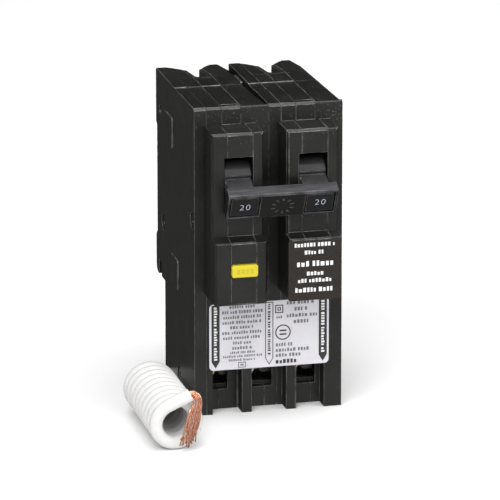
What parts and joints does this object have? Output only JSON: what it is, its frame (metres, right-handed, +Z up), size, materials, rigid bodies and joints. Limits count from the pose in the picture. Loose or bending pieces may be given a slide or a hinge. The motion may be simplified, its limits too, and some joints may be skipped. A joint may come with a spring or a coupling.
{
  "type": "plug-on ground-fault circuit breaker",
  "caption": "Black plug-on ground-fault breaker with tied handles, yellow test button, ratings label, load terminals and a coiled white neutral lead.",
  "frame": {"origin": "middle of the base under the case and handles, without the free lead", "axes": "+Z up from the load end to the line end, +X across the poles, -Y out of the operating face"},
  "size_m": [0.0737, 0.0957, 0.1066],
  "materials": {
    "case_plastic": "fine-grained moulded black thermoset",
    "handle_plastic": "smooth black",
    "button_yellow": "smooth yellow",
    "label_white": "printed white film",
    "label_dark": "dark brown-black film",
    "bare_copper": "bright drawn copper",
    "terminal_brass": "plain brass",
    "plated_steel": "zinc plated",
    "blackened_steel": "oil blackened",
    "tinned_copper": "tin plated",
    "contact_silver": "silver",
    "fibre": "red-brown fibre",
    "board_laminate": "green laminate",
    "winding_tape": "amber tape over a winding",
    "wire_white": "smooth white insulation"
  },
  "bodies": {
    "case": {"left_outer_cover": "case_plastic", "left_spacer": "case_plastic", "left_middle_case": "case_plastic", "left_base": "case_plastic", "left_line_jaw": "tinned_copper", "left_fixed_contact": "contact_silver", "left_arc_chute": "plated_steel", "left_arm_pin": "plated_steel", "left_cradle_pin": "plated_steel", "left_toggle_spring": "plated_steel", "left_bimetal": "terminal_brass", "left_magnet_yoke": "plated_steel", "left_braid": "bare_copper", "right_outer_cover": "case_plastic", "right_spacer": "case_plastic", "right_middle_case": "case_plastic", "right_base": "case_plastic", "right_line_jaw": "tinned_copper", "right_fixed_contact": "contact_silver", "right_arc_chute": "plated_steel", "right_arm_pin": "plated_steel", "right_cradle_pin": "plated_steel", "right_toggle_spring": "plated_steel", "right_bimetal": "terminal_brass", "right_magnet_yoke": "plated_steel", "right_braid": "bare_copper", "test_contact": "bare_copper", "ratings_label": "label_white", "rating_sticker": "label_dark", "case_rivet_1": "blackened_steel", "case_rivet_2": "blackened_steel", "case_rivet_3": "blackened_steel", "trip_solenoid": "winding_tape", "circuit_board": "board_laminate", "current_transformer": "winding_tape", "line_strap": "tinned_copper", "left_terminal_lug": "terminal_brass", "neutral_terminal_lug": "tinned_copper", "right_terminal_lug": "terminal_brass", "pigtail_lead": "wire_white", "pigtail_coil": "wire_white", "pigtail_tail": "wire_white", "pigtail_strands": "bare_copper"},
    "handles": {"left_handle": "handle_plastic", "right_handle": "handle_plastic", "handle_tie": "handle_plastic"},
    "left_arm": {"left_contact_arm": "bare_copper", "left_moving_contact": "contact_silver"},
    "right_arm": {"right_contact_arm": "bare_copper", "right_moving_contact": "contact_silver"},
    "left_cradle_lever": {"left_cradle": "plated_steel"},
    "right_cradle_lever": {"right_cradle": "plated_steel"},
    "left_armature_plate": {"left_armature": "plated_steel"},
    "right_armature_plate": {"right_armature": "plated_steel"},
    "common_trip_bar": {"trip_bar": "fibre"},
    "plunger": {"solenoid_plunger": "plated_steel"},
    "button": {"test_button": "button_yellow"},
    "left_screw": {"left_terminal_screw": "blackened_steel"},
    "neutral_screw": {"neutral_terminal_screw": "blackened_steel"},
    "right_screw": {"right_terminal_screw": "blackened_steel"}
  },
  "joints": [
    {"name": "handle_throw", "type": "hinge", "parent": "case", "child": "handles", "pos_m": [0, -0.02364, 0.0833], "axis": [-1, 0, 0], "range_deg": [0, 52], "deforming": ["left_toggle_spring", "right_toggle_spring"]},
    {"name": "left_arm_swing", "type": "hinge", "parent": "case", "child": "left_arm", "pos_m": [-0.01315, -0.00864, 0.076], "axis": [1, 0, 0], "range_deg": [0, 15.2], "deforming": ["left_braid"]},
    {"name": "left_cradle_trip", "type": "hinge", "parent": "case", "child": "left_cradle_lever", "pos_m": [-0.01315, 0.01936, 0.066], "axis": [1, 0, 0], "range_deg": [0, 12]},
    {"name": "left_armature_pull", "type": "hinge", "parent": "case", "child": "left_armature_plate", "pos_m": [-0.01315, -0.00264, 0.0455], "axis": [1, 0, 0], "range_deg": [0, 5], "stiffness_Nm_per_rad": 0.01},
    {"name": "right_arm_swing", "type": "hinge", "parent": "case", "child": "right_arm", "pos_m": [0.01225, -0.00864, 0.076], "axis": [1, 0, 0], "range_deg": [0, 15.2], "deforming": ["right_braid"]},
    {"name": "right_cradle_trip", "type": "hinge", "parent": "case", "child": "right_cradle_lever", "pos_m": [0.01225, 0.01936, 0.066], "axis": [1, 0, 0], "range_deg": [0, 12]},
    {"name": "right_armature_pull", "type": "hinge", "parent": "case", "child": "right_armature_plate", "pos_m": [0.01225, -0.00264, 0.0455], "axis": [1, 0, 0], "range_deg": [0, 5], "stiffness_Nm_per_rad": 0.01},
    {"name": "trip_bar_turn", "type": "hinge", "parent": "case", "child": "common_trip_bar", "pos_m": [0, 0.00386, 0.0472], "axis": [1, 0, 0], "range_deg": [0, 10]},
    {"name": "plunger_slide", "type": "slide", "parent": "case", "child": "plunger", "axis": [0, 0, 1], "range_m": [0, 0.00148], "stiffness_N_per_m": 40},
    {"name": "test_button_press", "type": "slide", "parent": "case", "child": "button", "axis": [0, 1, 0], "range_m": [0, 0.0014], "stiffness_N_per_m": 400},
    {"name": "left_screw_turn", "type": "hinge", "parent": "case", "child": "left_screw", "pos_m": [-0.01365, -0.00814, 0.0132], "axis": [0, 1, 0], "continuous": true},
    {"name": "neutral_screw_turn", "type": "hinge", "parent": "case", "child": "neutral_screw", "pos_m": [0.00055, -0.00814, 0.0132], "axis": [0, 1, 0], "continuous": true},
    {"name": "right_screw_turn", "type": "hinge", "parent": "case", "child": "right_screw", "pos_m": [0.0151, -0.00814, 0.0132], "axis": [0, 1, 0], "continuous": true}
  ],
  "couplings": [
    {"joint": "left_arm_swing", "follows": "handle_throw", "ratio": 0.29038},
    {"joint": "right_arm_swing", "follows": "handle_throw", "ratio": 0.29038},
    {"joint": "trip_bar_turn", "follows": "plunger_slide", "rad_per_m": 117.6}
  ]
}
